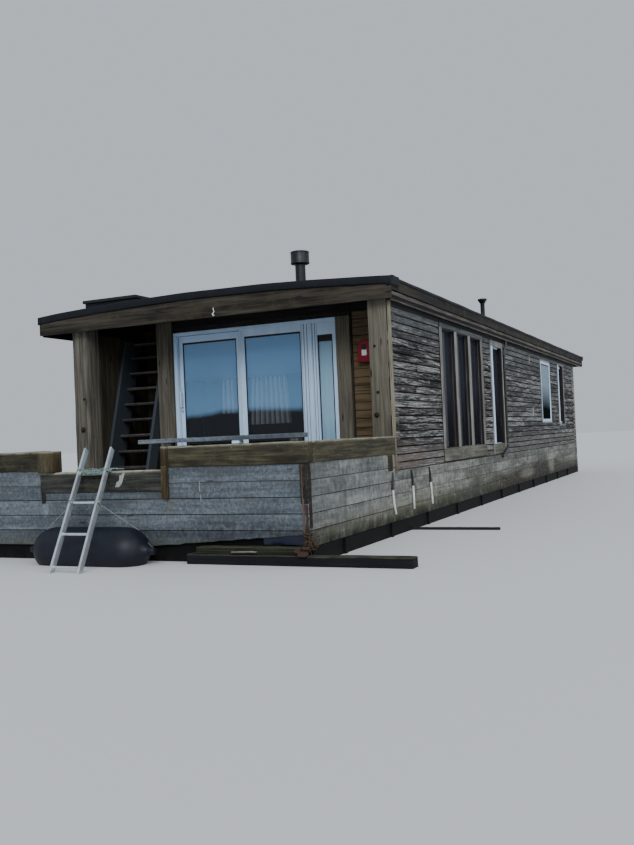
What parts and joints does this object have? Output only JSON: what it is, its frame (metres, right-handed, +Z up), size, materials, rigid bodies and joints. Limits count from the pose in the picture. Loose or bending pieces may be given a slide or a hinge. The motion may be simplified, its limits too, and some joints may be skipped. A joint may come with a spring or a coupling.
{
  "type": "timber-clad houseboat",
  "caption": "Flat-bottomed houseboat with a long boarded cabin, cambered felt roof, covered front deck with glazed sliding doors, stair alcove and roof hatch.",
  "frame": {"origin": "middle of the hull's flat bottom, 0.57 m below the waterline", "axes": "+Z up, +X to starboard, -Y towards the bow"},
  "size_m": [6.9998, 20.5349, 5.04],
  "materials": {
    "hull_paint": "dull dark coating",
    "silver_board": "weathered silver grey, green with algae low down",
    "dark_board": "weathered dark stain with silver streaks",
    "warm_board": "sheltered orange-brown boards",
    "sleeper": "mossy old sleeper timber",
    "deck_board": "worn deck boards",
    "roof_felt": "mineral roofing felt",
    "fascia_board": "dark mossy board",
    "white_frame": "satin white",
    "grey_frame": "grey weathered posts",
    "stair_wood": "grey-blue painted, worn",
    "black_metal": "black paint",
    "aluminium": "dull mill finish",
    "fender_rubber": "smooth, wet",
    "red_box": "gloss red",
    "clear_glass": "clear",
    "curtain_cloth": "thin white cloth"
  },
  "bodies": {
    "boat": {"hull": "hull_paint", "boards_starboard": "silver_board", "boards_port": "silver_board", "boards_bow": "silver_board", "boards_stern": "silver_board", "deck": "deck_board", "cap_bow_starboard": "sleeper", "cap_bow_port": "sleeper", "cap_ladder": "sleeper", "cap_starboard": "sleeper", "cap_port": "sleeper", "upright_port": "sleeper", "upright_starboard": "sleeper", "post_starboard": "sleeper", "post_port": "sleeper", "post_stair": "sleeper", "post_door": "sleeper", "wall_starboard": "dark_board", "wall_port": "dark_board", "wall_stern": "dark_board", "wall_front": "warm_board", "alcove_wall": "warm_board", "alcove_lining": "warm_board", "roof": "roof_felt", "fascia_front": "fascia_board", "fascia_stern": "fascia_board", "fascia_starboard": "fascia_board", "fascia_port": "fascia_board", "hatch_coaming": "fascia_board", "chimney": "black_metal", "vent": "black_metal", "front_door_frame": "white_frame", "front_door_fixed_glass": "clear_glass", "front_door_side_glass": "clear_glass", "tall_window_frame": "grey_frame", "tall_window_glass": "clear_glass", "narrow_window_frame": "white_frame", "narrow_window_glass": "clear_glass", "mid_window_frame": "white_frame", "mid_window_glass": "clear_glass", "aft_window_frame": "white_frame", "aft_window_glass": "clear_glass", "port_window_frame": "white_frame", "port_window_glass": "clear_glass", "stern_window_frame": "white_frame", "stern_window_glass": "clear_glass", "port_door_frame": "white_frame", "stair": "stair_wood", "downpipe": "black_metal", "wall_box": "red_box", "ladder": "aluminium", "fender": "fender_rubber", "gangplank": "silver_board", "curtains": "curtain_cloth", "bow_beam": "fascia_board", "side_pole": "fascia_board"},
    "front_door": {"front_door_leaf": "white_frame", "front_door_leaf_glass": "clear_glass"},
    "port_door": {"port_door_leaf": "warm_board"},
    "hatch": {"hatch_lid": "roof_felt"}
  },
  "joints": [
    {"name": "front_door_slide", "type": "slide", "parent": "boat", "child": "front_door", "axis": [1, 0, 0], "range_m": [0, 1]},
    {"name": "port_door_hinge", "type": "hinge", "parent": "boat", "child": "port_door", "pos_m": [-2.163, -3.646, 2.4], "axis": [0, 0, -1], "range_deg": [0, 95]},
    {"name": "hatch_hinge", "type": "hinge", "parent": "boat", "child": "hatch", "pos_m": [-1.75, -4.895, 4.152], "axis": [-1, 0, 0], "range_deg": [0, 100]}
  ]
}
